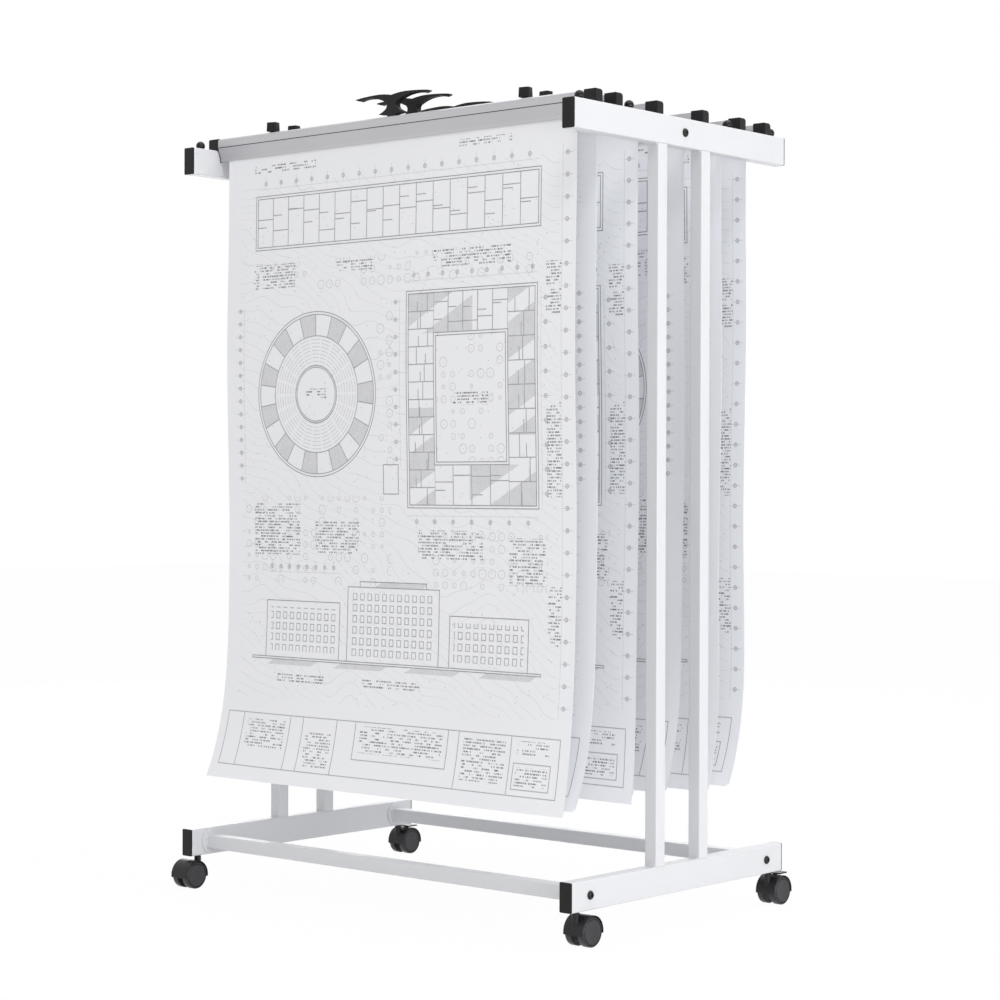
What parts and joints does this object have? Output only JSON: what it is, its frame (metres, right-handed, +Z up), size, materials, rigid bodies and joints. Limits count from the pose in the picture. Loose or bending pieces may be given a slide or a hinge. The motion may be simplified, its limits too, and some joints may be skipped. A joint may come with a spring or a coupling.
{
  "type": "plan hanging rack",
  "caption": "Wheeled rack of white steel side frames and crossbars that holds large drawings in aluminium hanging clamps laid across its top rails.",
  "frame": {"origin": "on the floor under the centre of the rack", "axes": "+X to the rack's right along its crossbars, +Y to its rear along its rails, +Z up"},
  "size_m": [0.9552, 0.6456, 1.4488],
  "materials": {
    "white_powder_coat": "satin",
    "aluminium": "satin anodised",
    "black_plastic": "fine texture",
    "gloss_black_plastic": "gloss",
    "caster_plastic": "satin",
    "wheel_plastic": "satin",
    "black_steel": "blackened",
    "paper": "matt"
  },
  "bodies": {
    "rack": {"left_side_frame": "white_powder_coat", "right_side_frame": "white_powder_coat", "front_crossbar": "white_powder_coat", "rear_crossbar": "white_powder_coat", "top_crossbar": "white_powder_coat", "frame_bolts": "black_steel", "rail_end_caps": "black_plastic", "rail_stops": "gloss_black_plastic"},
    "caster_front_left": {"caster_housing_front_left": "caster_plastic"},
    "wheels_front_left": {"caster_wheels_front_left": "wheel_plastic"},
    "caster_front_right": {"caster_housing_front_right": "caster_plastic"},
    "wheels_front_right": {"caster_wheels_front_right": "wheel_plastic"},
    "caster_rear_left": {"caster_housing_rear_left": "caster_plastic"},
    "wheels_rear_left": {"caster_wheels_rear_left": "wheel_plastic"},
    "pedal_rear_left": {"brake_pedal_rear_left": "caster_plastic"},
    "caster_rear_right": {"caster_housing_rear_right": "caster_plastic"},
    "wheels_rear_right": {"caster_wheels_rear_right": "wheel_plastic"},
    "pedal_rear_right": {"brake_pedal_rear_right": "caster_plastic"},
    "clamp_a": {"clamp_bar_a": "aluminium", "clamp_end_caps_a": "black_plastic", "clamp_handle_a": "black_plastic", "plan_sheet_a": "paper"},
    "jaw_a": {"clamp_jaw_a": "aluminium"},
    "knob_left_a": {"clamp_knob_left_a": "black_plastic"},
    "knob_right_a": {"clamp_knob_right_a": "black_plastic"},
    "clamp_b": {"clamp_bar_b": "aluminium", "clamp_end_caps_b": "black_plastic", "clamp_handle_b": "black_plastic", "plan_sheet_b": "paper"},
    "jaw_b": {"clamp_jaw_b": "aluminium"},
    "knob_left_b": {"clamp_knob_left_b": "black_plastic"},
    "knob_right_b": {"clamp_knob_right_b": "black_plastic"},
    "clamp_c": {"clamp_bar_c": "aluminium", "clamp_end_caps_c": "black_plastic", "clamp_handle_c": "black_plastic", "plan_sheet_c": "paper"},
    "jaw_c": {"clamp_jaw_c": "aluminium"},
    "knob_left_c": {"clamp_knob_left_c": "black_plastic"},
    "knob_right_c": {"clamp_knob_right_c": "black_plastic"},
    "clamp_d": {"clamp_bar_d": "aluminium", "clamp_end_caps_d": "black_plastic", "clamp_handle_d": "black_plastic", "plan_sheet_d": "paper"},
    "jaw_d": {"clamp_jaw_d": "aluminium"},
    "knob_left_d": {"clamp_knob_left_d": "black_plastic"},
    "knob_right_d": {"clamp_knob_right_d": "black_plastic"},
    "clamp_e": {"clamp_bar_e": "aluminium", "clamp_end_caps_e": "black_plastic", "clamp_handle_e": "black_plastic", "plan_sheet_e": "paper"},
    "jaw_e": {"clamp_jaw_e": "aluminium"},
    "knob_left_e": {"clamp_knob_left_e": "black_plastic"},
    "knob_right_e": {"clamp_knob_right_e": "black_plastic"},
    "clamp_f": {"clamp_bar_f": "aluminium", "clamp_end_caps_f": "black_plastic", "clamp_handle_f": "black_plastic", "plan_sheet_f": "paper"},
    "jaw_f": {"clamp_jaw_f": "aluminium"},
    "knob_left_f": {"clamp_knob_left_f": "black_plastic"},
    "knob_right_f": {"clamp_knob_right_f": "black_plastic"}
  },
  "joints": [
    {"name": "swivel_front_left", "type": "hinge", "parent": "rack", "child": "caster_front_left", "pos_m": [-0.4575, -0.275, 0.06], "axis": [0, 0, 1], "continuous": true},
    {"name": "wheel_spin_front_left", "type": "hinge", "parent": "caster_front_left", "child": "wheels_front_left", "pos_m": [-0.4575, -0.295, 0.025], "axis": [1, 0, 0], "continuous": true},
    {"name": "swivel_front_right", "type": "hinge", "parent": "rack", "child": "caster_front_right", "pos_m": [0.4575, -0.275, 0.06], "axis": [0, 0, 1], "continuous": true},
    {"name": "wheel_spin_front_right", "type": "hinge", "parent": "caster_front_right", "child": "wheels_front_right", "pos_m": [0.4575, -0.255, 0.025], "axis": [1, 0, 0], "continuous": true},
    {"name": "swivel_rear_left", "type": "hinge", "parent": "rack", "child": "caster_rear_left", "pos_m": [-0.4575, 0.275, 0.06], "axis": [0, 0, 1], "continuous": true},
    {"name": "wheel_spin_rear_left", "type": "hinge", "parent": "caster_rear_left", "child": "wheels_rear_left", "pos_m": [-0.4575, 0.295, 0.025], "axis": [1, 0, 0], "continuous": true},
    {"name": "brake_press_rear_left", "type": "hinge", "parent": "caster_rear_left", "child": "pedal_rear_left", "pos_m": [-0.4575, 0.299, 0.045], "axis": [-1, 0, 0], "range_deg": [0, 20]},
    {"name": "swivel_rear_right", "type": "hinge", "parent": "rack", "child": "caster_rear_right", "pos_m": [0.4575, 0.275, 0.06], "axis": [0, 0, 1], "continuous": true},
    {"name": "wheel_spin_rear_right", "type": "hinge", "parent": "caster_rear_right", "child": "wheels_rear_right", "pos_m": [0.4575, 0.295, 0.025], "axis": [1, 0, 0], "continuous": true},
    {"name": "brake_press_rear_right", "type": "hinge", "parent": "caster_rear_right", "child": "pedal_rear_right", "pos_m": [0.4575, 0.299, 0.045], "axis": [-1, 0, 0], "range_deg": [0, 20]},
    {"name": "clamp_slide_a", "type": "slide", "parent": "rack", "child": "clamp_a", "axis": [0, 1, 0], "range_m": [-0.0215, 0.02]},
    {"name": "jaw_open_a", "type": "hinge", "parent": "clamp_a", "child": "jaw_a", "pos_m": [0, -0.221, 1.4031], "axis": [1, 0, 0], "range_deg": [0, 8.1]},
    {"name": "knob_turn_left_a", "type": "hinge", "parent": "clamp_a", "child": "knob_left_a", "pos_m": [-0.306, -0.23, 1.416], "axis": [0, 0, 1], "range_deg": [0, 450]},
    {"name": "knob_turn_right_a", "type": "hinge", "parent": "clamp_a", "child": "knob_right_a", "pos_m": [0.306, -0.23, 1.416], "axis": [0, 0, 1], "range_deg": [0, 450]},
    {"name": "clamp_slide_b", "type": "slide", "parent": "rack", "child": "clamp_b", "axis": [0, 1, 0], "range_m": [-0.02, 0.019]},
    {"name": "jaw_open_b", "type": "hinge", "parent": "clamp_b", "child": "jaw_b", "pos_m": [0, -0.167, 1.4031], "axis": [1, 0, 0], "range_deg": [0, 8.1]},
    {"name": "knob_turn_left_b", "type": "hinge", "parent": "clamp_b", "child": "knob_left_b", "pos_m": [-0.306, -0.176, 1.416], "axis": [0, 0, 1], "range_deg": [0, 450]},
    {"name": "knob_turn_right_b", "type": "hinge", "parent": "clamp_b", "child": "knob_right_b", "pos_m": [0.306, -0.176, 1.416], "axis": [0, 0, 1], "range_deg": [0, 450]},
    {"name": "clamp_slide_c", "type": "slide", "parent": "rack", "child": "clamp_c", "axis": [0, 1, 0], "range_m": [-0.055, 0.037]},
    {"name": "jaw_open_c", "type": "hinge", "parent": "clamp_c", "child": "jaw_c", "pos_m": [0, -0.055, 1.4031], "axis": [1, 0, 0], "range_deg": [0, 8.1]},
    {"name": "knob_turn_left_c", "type": "hinge", "parent": "clamp_c", "child": "knob_left_c", "pos_m": [-0.306, -0.064, 1.416], "axis": [0, 0, 1], "range_deg": [0, 450]},
    {"name": "knob_turn_right_c", "type": "hinge", "parent": "clamp_c", "child": "knob_right_c", "pos_m": [0.306, -0.064, 1.416], "axis": [0, 0, 1], "range_deg": [0, 450]},
    {"name": "clamp_slide_d", "type": "slide", "parent": "rack", "child": "clamp_d", "axis": [0, 1, 0], "range_m": [-0.037, 0.058]},
    {"name": "jaw_open_d", "type": "hinge", "parent": "clamp_d", "child": "jaw_d", "pos_m": [0, 0.076, 1.4031], "axis": [1, 0, 0], "range_deg": [0, 8.1]},
    {"name": "knob_turn_left_d", "type": "hinge", "parent": "clamp_d", "child": "knob_left_d", "pos_m": [-0.306, 0.067, 1.416], "axis": [0, 0, 1], "range_deg": [0, 450]},
    {"name": "knob_turn_right_d", "type": "hinge", "parent": "clamp_d", "child": "knob_right_d", "pos_m": [0.306, 0.067, 1.416], "axis": [0, 0, 1], "range_deg": [0, 450]},
    {"name": "clamp_slide_e", "type": "slide", "parent": "rack", "child": "clamp_e", "axis": [0, 1, 0], "range_m": [-0.015, 0.046]},
    {"name": "jaw_open_e", "type": "hinge", "parent": "clamp_e", "child": "jaw_e", "pos_m": [0, 0.187, 1.4031], "axis": [1, 0, 0], "range_deg": [0, 8.1]},
    {"name": "knob_turn_left_e", "type": "hinge", "parent": "clamp_e", "child": "knob_left_e", "pos_m": [-0.306, 0.178, 1.416], "axis": [0, 0, 1], "range_deg": [0, 450]},
    {"name": "knob_turn_right_e", "type": "hinge", "parent": "clamp_e", "child": "knob_right_e", "pos_m": [0.306, 0.178, 1.416], "axis": [0, 0, 1], "range_deg": [0, 450]},
    {"name": "clamp_slide_f", "type": "slide", "parent": "rack", "child": "clamp_f", "axis": [0, 1, 0], "range_m": [-0.049, 0.0025]},
    {"name": "jaw_open_f", "type": "hinge", "parent": "clamp_f", "child": "jaw_f", "pos_m": [0, 0.264, 1.4031], "axis": [1, 0, 0], "range_deg": [0, 8.1]},
    {"name": "knob_turn_left_f", "type": "hinge", "parent": "clamp_f", "child": "knob_left_f", "pos_m": [-0.306, 0.255, 1.416], "axis": [0, 0, 1], "range_deg": [0, 450]},
    {"name": "knob_turn_right_f", "type": "hinge", "parent": "clamp_f", "child": "knob_right_f", "pos_m": [0.306, 0.255, 1.416], "axis": [0, 0, 1], "range_deg": [0, 450]}
  ],
  "couplings": [
    {"joint": "jaw_open_a", "follows": "knob_turn_left_a", "ratio": 0.01768},
    {"joint": "knob_turn_right_a", "follows": "knob_turn_left_a", "ratio": 1},
    {"joint": "jaw_open_b", "follows": "knob_turn_left_b", "ratio": 0.01768},
    {"joint": "knob_turn_right_b", "follows": "knob_turn_left_b", "ratio": 1},
    {"joint": "jaw_open_c", "follows": "knob_turn_left_c", "ratio": 0.01768},
    {"joint": "knob_turn_right_c", "follows": "knob_turn_left_c", "ratio": 1},
    {"joint": "jaw_open_d", "follows": "knob_turn_left_d", "ratio": 0.01768},
    {"joint": "knob_turn_right_d", "follows": "knob_turn_left_d", "ratio": 1},
    {"joint": "jaw_open_e", "follows": "knob_turn_left_e", "ratio": 0.01768},
    {"joint": "knob_turn_right_e", "follows": "knob_turn_left_e", "ratio": 1},
    {"joint": "jaw_open_f", "follows": "knob_turn_left_f", "ratio": 0.01768},
    {"joint": "knob_turn_right_f", "follows": "knob_turn_left_f", "ratio": 1}
  ]
}
